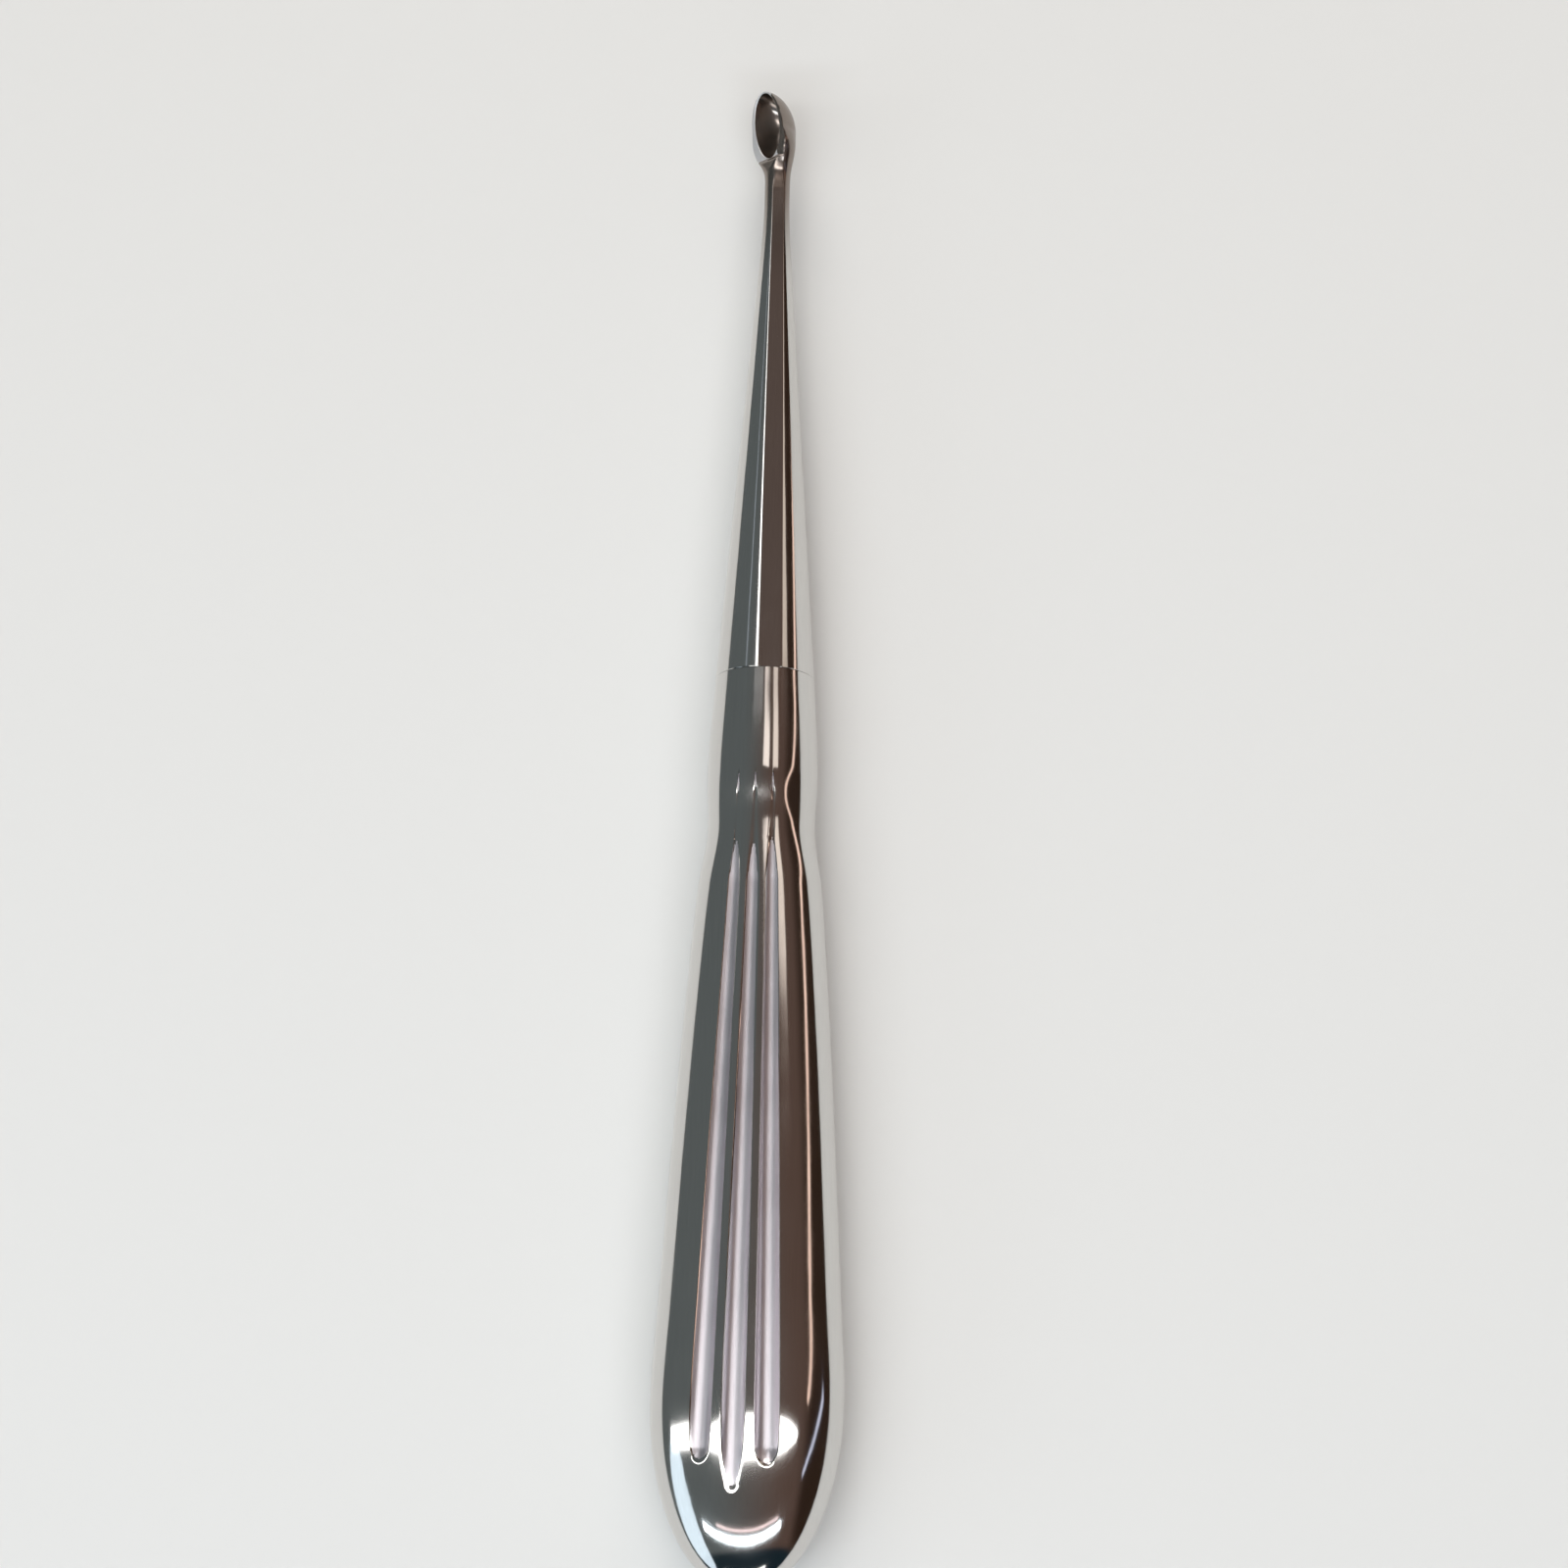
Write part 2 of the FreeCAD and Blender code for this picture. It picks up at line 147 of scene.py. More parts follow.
def eased(share):
    """The share, starting and stopping gently."""
    return share * share * (3 - 2 * share)


def soft_least(a, b, soft):
    """The lesser of two heights, with the crease between them rounded off."""
    share = held(0.5 + 0.5 * (b - a) / soft)
    return mix(b, a, share) - soft * share * (1 - share)


def steps(start, stop, spacing):
    """Even places about one spacing apart, from start up to the one before stop."""
    count = max(round((stop - start) / spacing), 1)
    return [mix(start, stop, k / count) for k in range(count)]


def grow_tube(name, rings, ends):
    """A tube extruded from a circle once per ring; each ring then takes its own section.

    ends are the points that close it, before the first ring and after the last."""
    columns = len(rings[0])
    bpy.ops.object.select_all(action="DESELECT")
    bpy.ops.mesh.primitive_circle_add(vertices=columns, radius=1, fill_type="NOTHING")
    piece = bpy.context.object
    piece.name = piece.data.name = name
    bpy.ops.object.mode_set(mode="EDIT")
    bpy.ops.mesh.select_all(action="SELECT")
    for _ in range(len(rings) + 1):
        bpy.ops.mesh.extrude_region_move(TRANSFORM_OT_translate={"value": (0, 0, 1)})
    bpy.ops.object.mode_set(mode="OBJECT")
    for vertex in piece.data.vertices:
        level = round(vertex.co.z)
        column = round(math.atan2(vertex.co.y, vertex.co.x) / math.tau * columns) % columns
        if 0 < level <= len(rings):
            vertex.co = rings[level - 1][column]
        else:
            vertex.co = ends[0 if level == 0 else 1]
    bpy.ops.object.mode_set(mode="EDIT")
    bpy.ops.mesh.select_all(action="SELECT")
    bpy.ops.mesh.remove_doubles(threshold=1e-6)
    bpy.ops.mesh.normals_make_consistent(inside=False)
    bpy.ops.object.mode_set(mode="OBJECT")
    return piece


def round_ring(radius, station, like):
    """A round section whose columns stand at the same turns as another ring's."""
    middle = laid(0, station, 0)
    ring = []
    for point in like:
        away = Vector((point.x, 0, point.z - middle.z)).normalized()
        ring.append(middle + away * radius / 1000)
    return ring


# The handle. Its mesh has the same columns in each section, and they follow the flutes' edges.

half_width_at = flowing([o[0] for o in OVALS], [o[1] / 2 for o in OVALS])
half_thickness_at = flowing([o[0] for o in OVALS], [o[2] / 2 for o in OVALS])


def handle_oval(station):
    """Half width and half thickness; the butt is the half of an ellipsoid."""
    if station >= BELLY:
        return half_width_at(station), half_thickness_at(station)
    shrink = math.sqrt(max(1 - ((BELLY - station) / BELLY) ** 2, 0.0))
    return BELLY_OVAL[0] / 2 * shrink, BELLY_OVAL[1] / 2 * shrink


def flute(side, station):
    """Centre across, height of the cutter's axis and its radius at a station."""
    share = (station - BELLY) / (WAIST - BELLY)
    ends = []
    for k, (width, thickness) in enumerate((BELLY_OVAL, WAIST_OVAL)):
        fall = math.sqrt(1 - (side * 2 * FLUTE_PITCH[k] / width) ** 2)
        ends.append(thickness / 2 * fall + FLUTE_RADIUS[k] - FLUTE_DEPTH[k])
    centre = mix(side * FLUTE_PITCH[0] + FLUTE_SKEW, side * FLUTE_PITCH[1], share)
    height = mix(ends[0], ends[1], share)
    blunt = FLUTE_END + abs(side) * FLUTE_SIDE_SETBACK + FLUTE_BLUNT
    if station >= FLUTE_LEAD:
        radius = FLUTE_RADIUS[1] * max(FLUTE_TOP - station, 0.0) / (FLUTE_TOP - FLUTE_LEAD)
    elif station >= blunt:
        radius = mix(FLUTE_RADIUS[0], FLUTE_RADIUS[1], (station - blunt) / (FLUTE_LEAD - blunt))
    else:
        arc = (FLUTE_BLUNT ** 2 + FLUTE_RADIUS[0] ** 2) / (2 * FLUTE_RADIUS[0])
        reach = arc ** 2 - (blunt - station) ** 2
        radius = math.sqrt(max(reach, 0.0)) - arc + FLUTE_RADIUS[0]
    return centre, height, max(radius, 0.0)


def top_height(across, widths):
    """Height of the plain oval over a point across it."""
    return widths[1] * math.sqrt(max(1 - (across / widths[0]) ** 2, 0.0))


def floor_height(across, cutter):
    """Height of a flute's floor over a point across, or infinite beside the flute."""
    centre, height, radius = cutter
    reach = radius ** 2 - (across - centre) ** 2
    return height - math.sqrt(reach) if reach > 0 else math.inf


def flute_edges(side, station, widths):
    """Where the flute's two walls meet the oval, or a narrow gap past its ends."""
    cutter = flute(side, station)
    least = NARROWEST[0] if station < BELLY else NARROWEST[1]
    edges = []
    for way in (1, -1):
        near, far = 0.0, cutter[2]
        if floor_height(cutter[0], cutter) < top_height(cutter[0], widths):
            for _ in range(HALVINGS):
                middle = (near + far) / 2
                across = cutter[0] + way * middle
                inside = floor_height(across, cutter) < top_height(across, widths)
                near, far = (middle, far) if inside else (near, middle)
        edges.append(cutter[0] + way * max(near, least))
    return edges


# how the columns are shared out over a flute, a land and a flank: closest at the edges
IN_FLUTE = (0, 0.03, 0.08, 0.15, 0.25, 0.37, 0.5, 0.63, 0.75, 0.85, 0.92, 0.97, 1)
ON_LAND = (0, 0.05, 0.1, 0.17, 0.25, 0.35, 0.5, 0.65, 0.75, 0.83, 0.9, 0.95, 1)
ON_FLANK = (
    [0.004, 0.009, 0.015, 0.022, 0.032, 0.045, 0.06]
    + [0.06 + 0.88 * k / 26 for k in range(1, 26)]
    + [0.94, 0.955, 0.968, 0.978, 0.985, 0.991, 0.996]
)


def face_columns(station, widths):
    """Places across the fluted face, from right to left, that follow the flutes' edges."""
    edges = []
    for side in (1, 0, -1):
        edges += flute_edges(side, station, widths)
    places = [edges[0]]
    for k in range(len(edges) - 1):
        shares = ON_LAND if k % 2 else IN_FLUTE
        places += [mix(edges[k], edges[k + 1], share) for share in shares[1:]]
    return places


def handle_ring(station):
    """One section of the handle: right edge of the front face, round to the left, and back."""
    widths = handle_oval(station)
    guide = min(max(station, GUIDED[0]), GUIDED[1])
    guide_widths = handle_oval(guide)
    places = [x / guide_widths[0] * widths[0] for x in face_columns(guide, guide_widths)]
    cutters = [flute(side, station) for side in (-1, 0, 1)]

    # the flat of the back is the table's plane, which touches belly and swell alike
    rise = (BELLY_OVAL[1] - SWELL_OVAL[1]) / 2 / (SWELL - BELLY)
    lowest = BELLY_OVAL[1] / 2 - BACK_FLAT - rise * (station - BELLY)

    def face(way):
        points = []
        for across in places:
            up = top_height(across, widths)
            for cutter in cutters:
                floor = floor_height(across, cutter)
                if floor < math.inf:
                    up = soft_least(up, floor, LAND_ROUND)
            if way < 0:
                up = soft_least(up, lowest, BACK_SOFT)
            points.append((across, way * up))
        return points

    def flank(start, stop):
        points = []
        for share in ON_FLANK:
            turn = mix(start, stop, share)
            points.append((widths[0] * math.cos(turn), widths[1] * math.sin(turn)))
        return points

    right = math.acos(places[0] / widths[0])
    left = math.acos(places[-1] / widths[0])
    ring = face(1) + flank(left, 2 * math.pi - left) + face(-1)[::-1] + flank(-right, right)
    return [laid(across, station, up) for across, up in ring]


# sections: single ones at the butt, then from, to and spacing, closest where the flutes end
SEAM = HANDLE_LENGTH - SEAM_BEVEL
BUTT_STATIONS = [0.02, 0.08, 0.2, 0.4, 0.7, 1.1, 1.6, 2.2]
HANDLE_STRETCHES = (
    (2.9, 9.5, 0.8), (9.5, 16.0, 0.12), (16.0, BELLY, 0.5),
    (BELLY, 74.0, 1.5), (74.0, 89.0, 0.4), (89.0, SEAM, 1.0),
)
stations = BUTT_STATIONS + [place for stretch in HANDLE_STRETCHES for place in steps(*stretch)]
rings = [handle_ring(station) for station in stations]
seam_ring = handle_ring(SEAM)
mouth = TANG_RADIUS + SOCKET_GAP
rings += [seam_ring, round_ring(JOINT_RADIUS - SEAM_BEVEL, HANDLE_LENGTH, seam_ring)]
rings += [round_ring(mouth, HANDLE_LENGTH, seam_ring), round_ring(mouth, TANG_START, seam_ring)]
handle = grow_tube("handle_polished", rings, (laid(0, 0, 0), laid(0, TANG_START, 0)))


# The shank and the cup, one forging. The columns follow the edges of the two flats.

def out_of_rim(across, along, up):
    """A point given in the rim's frame, where it lies on the table, in metres."""
    ahead = along * math.cos(CUP_TILT) - up * math.sin(CUP_TILT)
    turned_up = along * math.sin(CUP_TILT) + up * math.cos(CUP_TILT) + RIM_HEIGHT
    return laid(
        across * math.cos(CUP_TURN) - turned_up * math.sin(CUP_TURN),
        CUP_MIDDLE + ahead,
        across * math.sin(CUP_TURN) + turned_up * math.cos(CUP_TURN),
    )


def in_rim(across, station, up):
    """A point of the instrument in the rim's frame, counted from the hollow's middle."""
    turned_up = up * math.cos(CUP_TURN) - across * math.sin(CUP_TURN) - RIM_HEIGHT
    ahead = station - CUP_MIDDLE
    return (
        across * math.cos(CUP_TURN) + up * math.sin(CUP_TURN),
        ahead * math.cos(CUP_TILT) + turned_up * math.sin(CUP_TILT) - HOLLOW_SHIFT,
        turned_up * math.cos(CUP_TILT) - ahead * math.sin(CUP_TILT),
    )


def shank_radius(station):
    """The cone, and the small round with which it runs on into the neck."""
    taper = (JOINT_RADIUS - NECK_RADIUS) / (NECK - HANDLE_LENGTH)
    if station <= NECK - NECK_REACH:
        return JOINT_RADIUS - taper * (station - HANDLE_LENGTH)
    share = min((station - NECK + NECK_REACH) / (2 * NECK_REACH), 1.0)
    return NECK_RADIUS + taper * NECK_REACH * (1 - share) ** 2


# how the columns are shared out over a flat and over the round beside it
FLAT_SHARES = (0, 0.03, 0.1, 0.25, 0.5, 0.75, 0.9, 0.97, 1)
SIDE_SHARES = (
    [0.005, 0.02, 0.05]
    + [mix(0.05, 0.95, k / 36) for k in range(1, 36)]
    + [0.95, 0.98, 0.995]
)


def shank_turns(station):
    """Turns about the axis of a ring's columns; they follow the edges of the flats."""
    radius = shank_radius(min(station, NECK))
    edge = math.acos(1 - FLAT_DEPTH / radius)
    turns = []
    for middle in (math.pi / 2, -math.pi / 2 + math.tau):
        turns += [middle - edge + 2 * edge * share for share in FLAT_SHARES]
        side = [middle + edge, middle + math.pi - edge]
        turns += [mix(side[0], side[1], share) for share in SIDE_SHARES]
    return [turn - FLAT_TURN for turn in turns]


def shank_reach(turn, station):
    """How far the ground shank reaches out from its axis at a turn."""
    radius = shank_radius(station)
    depth = FLAT_DEPTH * held((FLAT_END + FLAT_FADE / 2 - station) / FLAT_FADE)
    rise = abs(math.sin(turn + FLAT_TURN))
    return soft_least(radius, (radius - depth) / rise, FLAT_SOFT) if rise > FLAT_REACH else radius


# neck, heel and bowl are ovals turned with the cup:
# station, half width, height of the middle, half height
CUP_OVALS = (
    (156.5, NECK_RADIUS, 0.0, NECK_RADIUS),
    (159.3, NECK_RADIUS, 0.0, NECK_RADIUS),
    (160.4, 1.52, 0.03, 1.47),
    (161.3, 1.80, 0.14, 1.60),
    (162.2, 2.25, 0.36, 1.85),
    (163.1, 2.60, 0.68, 2.25),
    (164.0, 2.74, 1.05, 2.75),
    (164.9, 2.66, 1.45, 3.30),
    (CUP_MIDDLE, BOWL[0], RIM_HEIGHT, BOWL_SECTION),
    (CUP_MIDDLE + 0.65, 2.47, RIM_HEIGHT + 0.025, 3.77),
)
cup_at = [flowing([o[0] for o in CUP_OVALS], [o[k] for o in CUP_OVALS]) for k in (1, 2, 3)]


def cup_oval(station):
    """Half width, height of the middle, half height; the tip is the half of an ellipsoid."""
    if station <= CUP_MIDDLE:
        return [value_at(station) for value_at in cup_at]
    share = (station - CUP_MIDDLE) / BOWL_TIP
    shrink = math.sqrt(max(1 - share ** 2, 0.0))
    return BOWL[0] * shrink, mix(RIM_HEIGHT, TIP_LIFT, share), BOWL_SECTION * shrink


def rim_at(station):
    """The height that the form is ground down to: level behind the heel, then along the rim."""
    rim = RIM_HEIGHT + (station - CUP_MIDDLE) * math.tan(CUP_TILT)
    return mix(NECK_RADIUS + HEEL_CREST, rim, eased(held((station - HEEL_START) / HEEL_LENGTH)))


def cup_ring(station):
    """A section through neck, heel or bowl; the flats of the neck run out in it."""
    half_width, middle, half_height = cup_oval(station)
    # the crease at the rim is sharp at first and fully rounded after 1 mm
    soft = GROUND_SOFT * held(station - GROUND_FROM) * min(half_width, 1.0)
    ring = []
    for turn in shank_turns(station):
        ground = shank_reach(turn, station) / shank_radius(station)
        across = half_width * ground * math.cos(turn - CUP_TURN)
        up = middle + half_height * ground * math.sin(turn - CUP_TURN)
        if station > GROUND_FROM:
            up = soft_least(up, rim_at(station), max(soft, LEAST_SOFT))
        ring.append(laid(
            across * math.cos(CUP_TURN) - up * math.sin(CUP_TURN),
            station,
            across * math.sin(CUP_TURN) + up * math.cos(CUP_TURN),
        ))
    return ring


def shank_ring(station, shrink=0.0):
    """A section through the cone or the neck; shrink bevels the shoulder."""
    ring = []
    for turn in shank_turns(station):
        reach = shank_reach(turn, station) - shrink
        ring.append(laid(reach * math.cos(turn), station, reach * math.sin(turn)))
    return ring


# sections: from, to and spacing, then the last ones by their distance from the tip
SHANK_STRETCHES = ((HANDLE_LENGTH + SEAM_BEVEL, 150.0, 2.5), (150.0, 157.0, 0.5))
CUP_STRETCH = (157.0, 169.6, 0.1)
TIP_STEPS = (0.38, 0.3, 0.22, 0.15, 0.09, 0.04, 0.01)

shoulder = shank_ring(HANDLE_LENGTH, SEAM_BEVEL)
rings = [round_ring(TANG_RADIUS, place, shoulder) for place in (TANG_START, HANDLE_LENGTH)]
rings.append(shoulder)
for stretch in SHANK_STRETCHES:
    rings += [shank_ring(station) for station in steps(*stretch)]
rings += [cup_ring(station) for station in steps(*CUP_STRETCH)]
tip = CUP_MIDDLE + BOWL_TIP
rings += [cup_ring(tip - back) for back in TIP_STEPS]
tip_point = laid(-TIP_LIFT * math.sin(CUP_TURN), tip, TIP_LIFT * math.cos(CUP_TURN))
shank = grow_tube("shank_and_cup_polished", rings, (laid(0, TANG_START, 0), tip_point))

# The hollow of the cup is cut out. The tool is half an ellipsoid with a small flare where it
# leaves the rim, which rounds the lip. Its levels are height, size and flare.
HOLLOW_LEVELS, HOLLOW_COLUMNS = 20, 96
LIP_TURNS = (0, 25, 50, 70, 88)
TOOL_RISE = 0.8

levels = []
for k in range(1, HOLLOW_LEVELS):
    fall = math.radians(90 * k / HOLLOW_LEVELS)
    levels.append((-HOLLOW[2] * math.cos(fall), math.sin(fall), 0.0))
for turn in map(math.radians, LIP_TURNS):
    levels.append((LIP * (math.sin(turn) - 1), 1.0, LIP * (1 - math.cos(turn))))
levels.append((TOOL_RISE, 1.0, LIP))
rings = []
for up, scale, flare in levels:
    ring = []
    for k in range(HOLLOW_COLUMNS):
        turn = math.tau * k / HOLLOW_COLUMNS
        across = (HOLLOW[0] * scale + flare) * math.cos(turn)
        along = (HOLLOW[1] * scale + flare) * math.sin(turn) + HOLLOW_SHIFT
        ring.append(out_of_rim(across, along, up))
    rings.append(ring)
hollow_ends = [out_of_rim(0, HOLLOW_SHIFT, up) for up in (-HOLLOW[2], TOOL_RISE)]
hollow = grow_tube("hollow", rings, hollow_ends)

tool = shank.modifiers.new("hollow", "BOOLEAN")
tool.operation = "DIFFERENCE"
tool.solver = "EXACT"
tool.object = hollow
bpy.context.view_layer.objects.active = shank
bpy.ops.object.modifier_apply(modifier="hollow")
bpy.data.objects.remove(hollow)


# The finish: one steel, worked in four ways; the honed lip carries a painted highlight and the
# ground cup painted shade. Pattern scales are per metre.

# lines about 0.15 mm apart across and 30 mm long, coarser than the real ones so that they show
LINE_SCALE, GRAIN_STRENGTH = (6500, 33, 6500), 0.15
# patches of some 6 mm where the wheel dwelt longer
CLOUD_SCALE = 160.0
# the wheel's wavering: swells about 1.5 mm wide and 8 mm long, some micrometres high
SWELL_SCALE, SWELL_STRENGTH, SWELL_HEIGHT = (650, 120, 650), 0.3, 0.00003
MIRROR_TONES = ("#cfcdca", "#dbd9d6")
# the mirror polish on the whole, which the ground finish grows out of
MIRROR_TONE, MIRROR_ROUGHNESS = "#d5d3d0", 0.08
SMOOTH_BELOW = math.radians(32)


def colour(hexed):
    """An sRGB hex colour as linear light."""
    parts = [int(hexed[k:k + 2], 16) / 255 for k in (1, 3, 5)]
    return [p / 12.92 if p <= 0.04045 else ((p + 0.055) / 1.055) ** 2.4 for p in parts] + [1.0]


def node(tree, kind, settings=None, inputs=None, links=None):
    """Adds a node with its settings, its input values and the sockets linked to its inputs."""
    made = tree.nodes.new(kind)
    for name, value in (settings or {}).items():
        setattr(made, name, value)
    for name, value in (inputs or {}).items():
        made.inputs[name].default_value = value
    for name, socket in (links or {}).items():
        tree.links.new(socket, made.inputs[name])
    return made


def steel(name, roughness, line_height, tones=MIRROR_TONES, run_in=None):
    """Stainless steel worked along its length: fine long lines and a faint cloudiness.

    run_in says between which two y in metres it grows out of the mirror polish."""
    metal = bpy.data.materials.new(name)
    metal.use_nodes = True
    tree = metal.node_tree
    shader = tree.nodes["Principled BSDF"]
    shader.inputs["Metallic"].default_value = 1.0
    spot = node(tree, "ShaderNodeTexCoord").outputs["Object"]

    def noise(place, scale, detail):
        made = node(
            tree, "ShaderNodeTexNoise",
            inputs={"Scale": scale, "Detail": detail}, links={"Vector": place},
        )
        return made.outputs["Fac"]

    def stretched(scale):
        made = node(tree, "ShaderNodeMapping", inputs={"Scale": scale}, links={"Vector": spot})
        return made.outputs["Vector"]

    fine = noise(stretched(LINE_SCALE), 1.0, 3.0)
    clouds = noise(spot, CLOUD_SCALE, 2.0)
    waves = noise(stretched(SWELL_SCALE), 1.0, 1.0)
    rough = node(
        tree, "ShaderNodeMapRange",
        inputs={"To Min": roughness[0], "To Max": roughness[1]}, links={"Value": clouds},
    ).outputs["Result"]
    tint = node(
        tree, "ShaderNodeMix", {"data_type": "RGBA"},
        {"A": colour(tones[0]), "B": colour(tones[1])}, {"Factor": fine},
    ).outputs["Result"]
    if run_in:
        apart = node(tree, "ShaderNodeSeparateXYZ", links={"Vector": spot})
        grown = node(
            tree, "ShaderNodeMapRange", {"interpolation_type": "SMOOTHSTEP"},
            {"From Min": run_in[0], "From Max": run_in[1]}, {"Value": apart.outputs["Y"]},
        ).outputs["Result"]
        rough = node(
            tree, "ShaderNodeMapRange",
            inputs={"To Min": MIRROR_ROUGHNESS}, links={"Value": grown, "To Max": rough},
        ).outputs["Result"]
        tint = node(
            tree, "ShaderNodeMix", {"data_type": "RGBA"},
            {"A": colour(MIRROR_TONE)}, {"Factor": grown, "B": tint},
        ).outputs["Result"]
    tree.links.new(rough, shader.inputs["Roughness"])
    tree.links.new(tint, shader.inputs["Base Color"])
    swell = node(
        tree, "ShaderNodeBump",
        inputs={"Strength": SWELL_STRENGTH, "Distance": SWELL_HEIGHT}, links={"Height": waves},
    )
    grain = node(
        tree, "ShaderNodeBump",
        inputs={"Strength": GRAIN_STRENGTH, "Distance": line_height},
        links={"Height": fine, "Normal": swell.outputs["Normal"]},
    )
    tree.links.new(grain.outputs["Normal"], shader.inputs["Normal"])
    return metal


# mirror polished on a felt wheel: sharp reflections that waver a little along the piece
polished = steel("polished_stainless_steel", (0.05, 0.13), 0.000004)
# the flutes, which the wheel hardly reaches: a satin that only gathers the light into soft stripes
satin = steel("satin_flutes_stainless_steel", (0.28, 0.38), 0.000012, ("#cfcacf", "#dbd6db"))
# the lip and heel of the cup, honed flat on a stone, so never in clear reflection; their
# near-white tone is a painted highlight, paler than the steel itself
honed_painted_highlight = steel("honed_stainless_steel_painted_highlight", (0.34, 0.44), 0.000008, ("#f1eff0", "#f7f5f6"))
# the cup inside and out, ground: hardly any polish, so no clear reflections, and its dark tone is
# painted shade on the steel; it grows out of the polish along the neck, from 25 to 10.5 mm below
# the tip
GROUND_SHADE_RUN_IN = (0.060, 0.0745)
ground_painted_shade = steel(
    "ground_stainless_steel_painted_shade", (0.16, 0.30), 0.000012, ("#8b817a", "#988e87"), GROUND_SHADE_RUN_IN,
)

for piece, cad_node in ((handle, "handle"), (shank, "shank_and_cup")):
    bpy.ops.object.select_all(action="DESELECT")
    piece.select_set(True)
    bpy.context.view_layer.objects.active = piece
    bpy.ops.object.shade_smooth_by_angle(angle=SMOOTH_BELOW)
    piece.data.materials.clear()
    piece.data.materials.append(polished)
    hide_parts(cad_node)
    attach(piece, "root")

# how far below the oval a flute's satin begins, at the butt and where the flutes end
SATIN_BELOW = (0.12, 0.05)
handle.data.materials.append(satin)
for face in handle.data.polygons:
    across, station, _ = on_instrument(face.center)
    if FLUTE_END < station < FLUTE_TOP:
        top = top_height(across, handle_oval(station))
        floor = min(floor_height(across, flute(side, station)) for side in (-1, 0, 1))
        below = mix(SATIN_BELOW[0], SATIN_BELOW[1], station / FLUTE_TOP)
        face.material_index = 1 if floor < top - below else 0

# the hollow's faces lie inside its ellipsoid, with a little to spare
HOLLOW_SPARE = 1.02
# the honed faces, which carry the painted highlight: heights about the rim's plane, then how far
# they go ahead, aside and back
HONED_HIGHLIGHT_HEIGHTS, HONED_HIGHLIGHT_HALF_LENGTH, HONED_HIGHLIGHT_ASIDE, HONED_HIGHLIGHT_START = (-0.1, 0.02), 4.6, 1.2, 161.5
# from this station on, the shank takes the ground finish with its painted shade
GROUND_SHADE_START = 144.0
shank.data.materials.append(ground_painted_shade)
shank.data.materials.append(honed_painted_highlight)
for face in shank.data.polygons:
    across, station, up = on_instrument(face.center)
    aside, ahead, above = in_rim(across, station, up)
    level = math.hypot(aside / HOLLOW[0], ahead / HOLLOW[1], above / HOLLOW[2])
    in_hollow = level < HOLLOW_SPARE and above < -LIP
    on_rim = HONED_HIGHLIGHT_HEIGHTS[0] < above < HONED_HIGHLIGHT_HEIGHTS[1] and station > HONED_HIGHLIGHT_START
    if on_rim and abs(ahead) < HONED_HIGHLIGHT_HALF_LENGTH and aside < HONED_HIGHLIGHT_ASIDE and not in_hollow:
        face.material_index = 2
    elif in_hollow or station > GROUND_SHADE_START:
        face.material_index = 1


# The table, a pale matt card, with the room and the lamps.

card = bpy.data.materials.new("pale_card")
card.use_nodes = True
card_shader = card.node_tree.nodes["Principled BSDF"]
card_shader.inputs["Base Color"].default_value = colour("#e2e1de")
card_shader.inputs["Roughness"].default_value = 0.9
TABLE_SIDE = 6

bpy.ops.object.select_all(action="DESELECT")
bpy.ops.mesh.primitive_plane_add(size=TABLE_SIDE, location=(0, 0, 0))
table = bpy.context.object
table.name = "table"
table.data.materials.append(card)

world = bpy.data.worlds.new("studio")
bpy.context.scene.world = world
world.use_nodes = True
room = world.node_tree
spots = node(room, "ShaderNodeTexCoord")
sides = node(room, "ShaderNodeSeparateXYZ", links={"Vector": spots.outputs["Generated"]})


def turned_by(axis, first, last):
    """How far a direction has gone from one value along an axis to another, from 0 to 1."""
    made = node(
        room, "ShaderNodeMapRange", {"interpolation_type": "SMOOTHSTEP"},
        {"From Min": first, "From Max": last}, {"Value": sides.outputs[axis]},
    )
    return made.outputs["Result"]


def blend(first, second, factor):
    """A colour that goes from the first, a hex colour or a socket, to the second."""
    made = node(
        room, "ShaderNodeMix", {"data_type": "RGBA"}, {"B": colour(second)}, {"Factor": factor},
    )
    if isinstance(first, str):
        made.inputs["A"].default_value = colour(first)
    else:
        room.links.new(first, made.inputs["A"])
    return made.outputs["Result"]


# a plain room, cooler on the left and warmer on the right, dark at the far right and low in front
walls = blend("#63696a", "#604d45", turned_by("X", -0.6, 0.6))
walls = blend(walls, "#35271f", turned_by("X", 0.70, 0.86))
walls = blend(walls, "#1b2a32", turned_by("Y", -0.60, -0.67))
room.links.new(walls, room.nodes["Background"].inputs["Color"])
room.nodes["Background"].inputs["Strength"].default_value = 1.0


def lamp(name, ends, width, glow, tone, shape="RECTANGLE"):
    """A flat soft lamp, long from one end to the other, that faces the object.

    glow is how bright its face looks, where 1 is white."""
    light = bpy.data.lights.new(name, "AREA")
    light.shape = shape
    first, last = (Vector(end) for end in ends)
    light.size, light.size_y = (last - first).length, width
    light.energy = glow * math.pi * light.size * light.size_y
    light.color = colour(tone)[:3]
    place = (first + last) / 2
    side = (last - first).normalized()
    back = place - side * place.dot(side)
    back.normalize()
    turn = Matrix((side, back.cross(side), back)).transposed()
    holder = bpy.data.objects.new(name, light)
    holder.matrix_world = Matrix.Translation(place) @ turn.to_4x4()
    bpy.context.scene.collection.objects.link(holder)
    holder.visible_camera = False


# the white patches on the lands near the butt
OVER_BUTT = ((-0.40, -0.075, 0.6), (0.52, -0.075, 0.6))
lamp("overhead_panel", OVER_BUTT, 0.105, 4.4, "#ffffff", "ELLIPSE")
lamp("side_panel", ((-0.42, -0.07, 0.6), (-0.96, -0.07, 0.29)), 0.075, 4.0, "#ffffff")
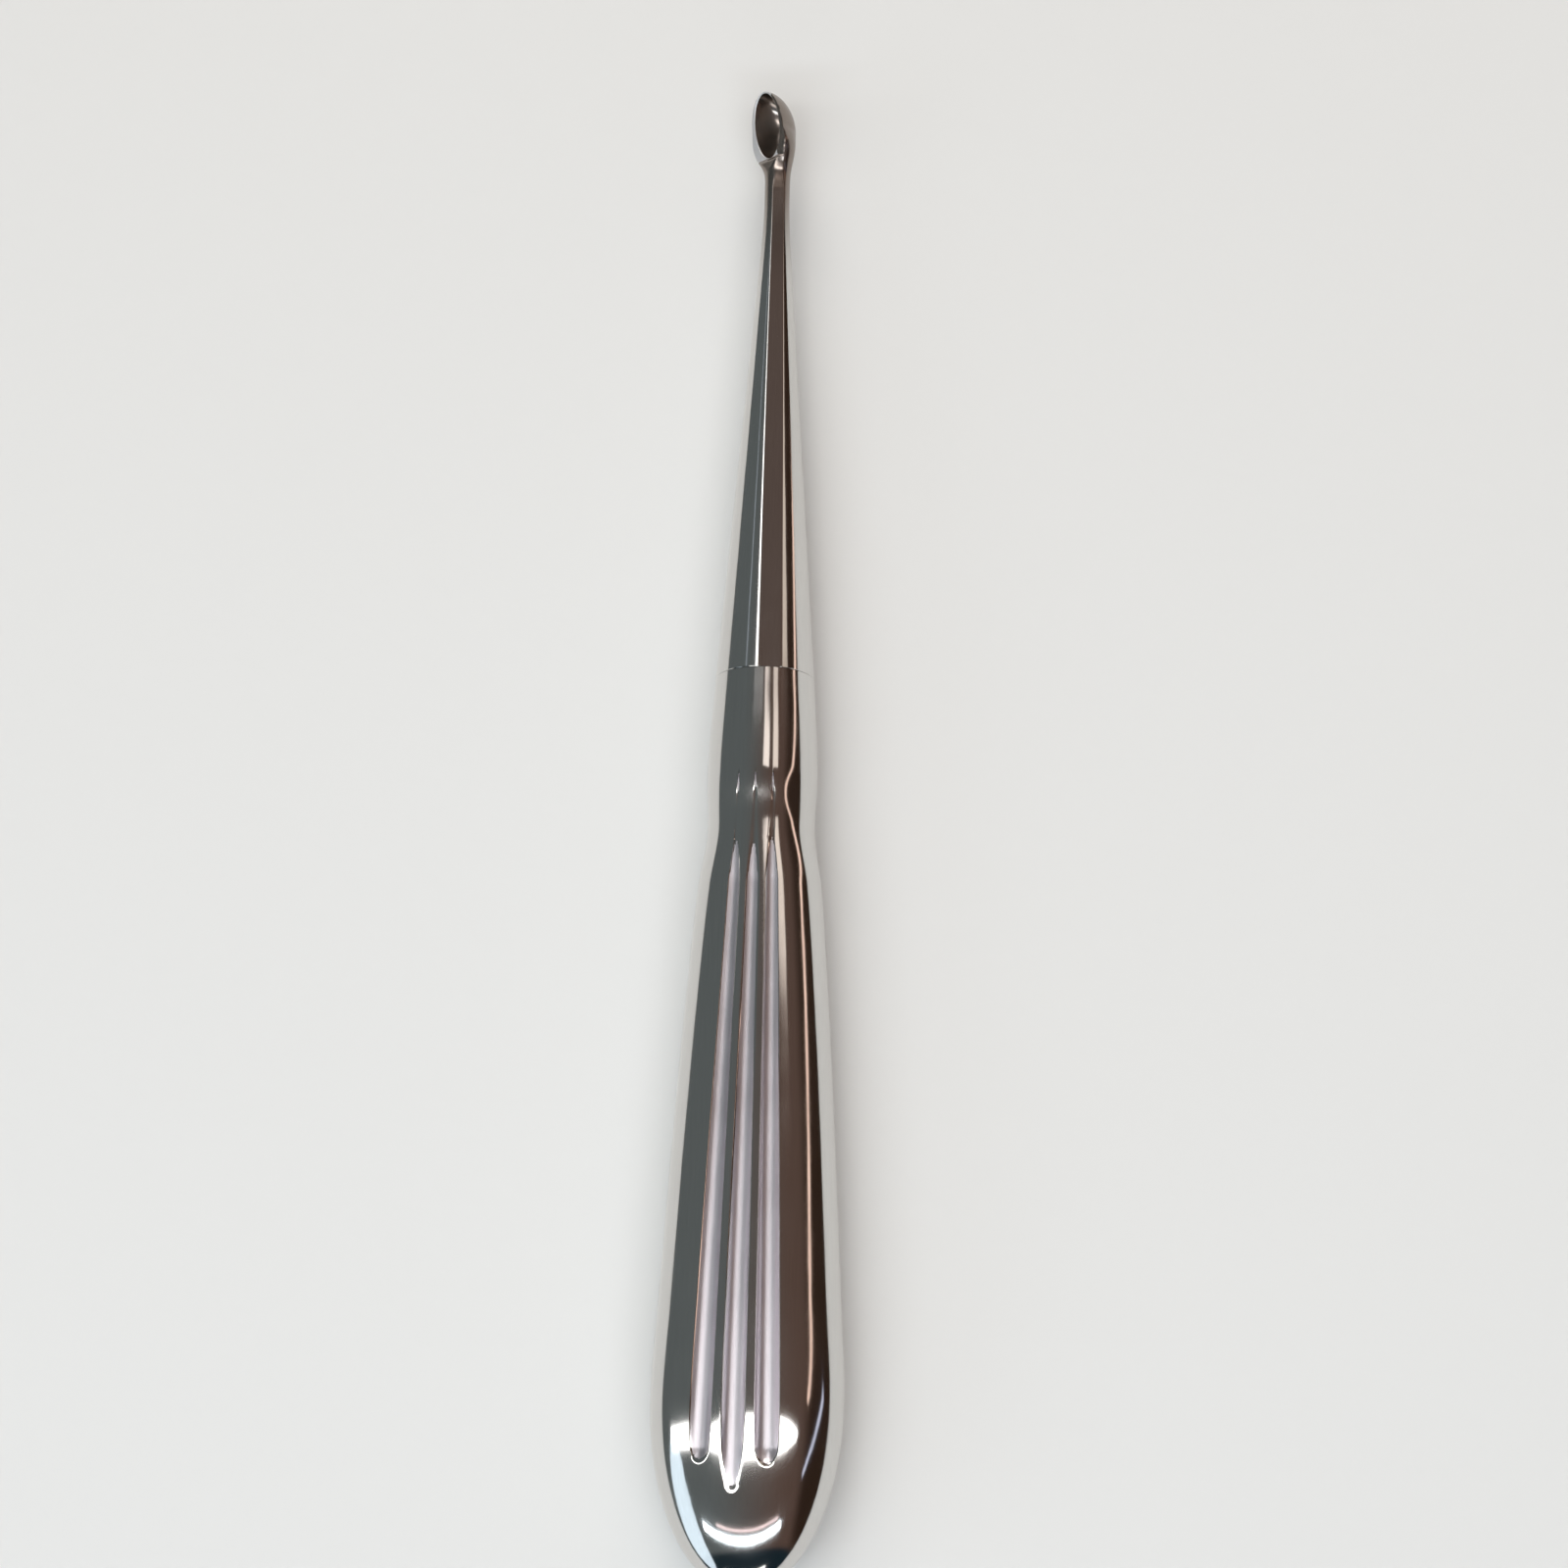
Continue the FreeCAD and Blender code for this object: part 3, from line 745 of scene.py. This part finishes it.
# the light lines along the shank and the neck
lamp("long_strip", ((-0.07, 0.275, 0.6), (-0.07, 0.55, 0.6)), 0.21, 2.5, "#ffffff")
lamp("neck_strip", ((0.135, 0.168, 0.6), (0.15, 0.262, 0.6)), 0.12, 1.25, "#fff4ec")
lamp("neck_second_strip", ((0.375, 0.186, 0.6), (0.375, 0.31, 0.6)), 0.13, 1.1, "#f8ece2")
lamp("faint_streak", ((-0.40, 0.3, 0.5), (-0.40, 0.6, 0.5)), 0.03, 0.4, "#cdd8e8")
lamp("edge_strip", ((0.51, 0.3, 0.37), (0.51, 0.55, 0.37)), 0.16, 0.75, "#fbeee0")
# the crescent at the butt and the line above it
lamp("front_strip", ((-0.64, -0.47, 0.6), (0.49, -0.47, 0.6)), 0.045, 18.0, "#eaf6ff")
lamp("front_line", ((-0.36, -0.39, 0.6), (0.40, -0.39, 0.6)), 0.012, 2.6, "#f6dcdc")
# the warm and the lavender line on the right flank, the cool band on the left of the butt
lamp("warm_strip", ((0.605, 0.03, 0.49), (0.605, 0.33, 0.01)), 0.03, 1.4, "#ffdccb")
lamp("lavender_strip", ((0.6, 0.03, 0.155), (0.6, -0.21, 0.46)), 0.03, 1.3, "#cfd6ee")
lamp("cool_window", ((-0.7, -0.05, 0.26), (-0.7, -1.0, 0.26)), 0.4, 1.15, "#d6e8f6", "ELLIPSE")
# even light for the table, from where the steel doesn't mirror it to the camera
lamp("back_panel", ((-0.5, 1.0, 0.5), (0.5, 1.0, 0.5)), 0.3, 6.0, "#fff8f0")
lamp("front_panel", ((-0.5, -1.15, 0.42), (0.5, -1.15, 0.42)), 0.3, 2.5, "#ffffff")

# The camera, fitted to the photo: distance in metres, then how far it is lowered towards the
# butt, moved to the right and rolled; focal length and shifts in pixels of the picture's side.
DISTANCE, LOW, ASIDE, ROLL = 0.4884, math.radians(15), math.radians(8), math.radians(1.357)
SENSOR, SIDE, FOCAL, SHIFT_X, SHIFT_Y = 36, 1600, 4487, 15.5, 41.5

camera = bpy.data.objects.new("camera", bpy.data.cameras.new("camera"))
bpy.context.scene.collection.objects.link(camera)
bpy.context.scene.camera = camera
back = Vector((math.sin(ASIDE) * math.cos(LOW), -math.sin(LOW), math.cos(ASIDE) * math.cos(LOW)))
right = Vector((0, 1, 0)).cross(back).normalized()
turn = Matrix((right, back.cross(right), back)).transposed()
rolled = turn.to_4x4() @ Matrix.Rotation(ROLL, 4, "Z")
camera.matrix_world = Matrix.Translation(back * DISTANCE) @ rolled
camera.data.lens = SENSOR * FOCAL / SIDE
camera.data.shift_x = SHIFT_X / SIDE
camera.data.shift_y = SHIFT_Y / SIDE
camera.data.clip_start = 0.01

bpy.context.scene.view_settings.view_transform = "Standard"
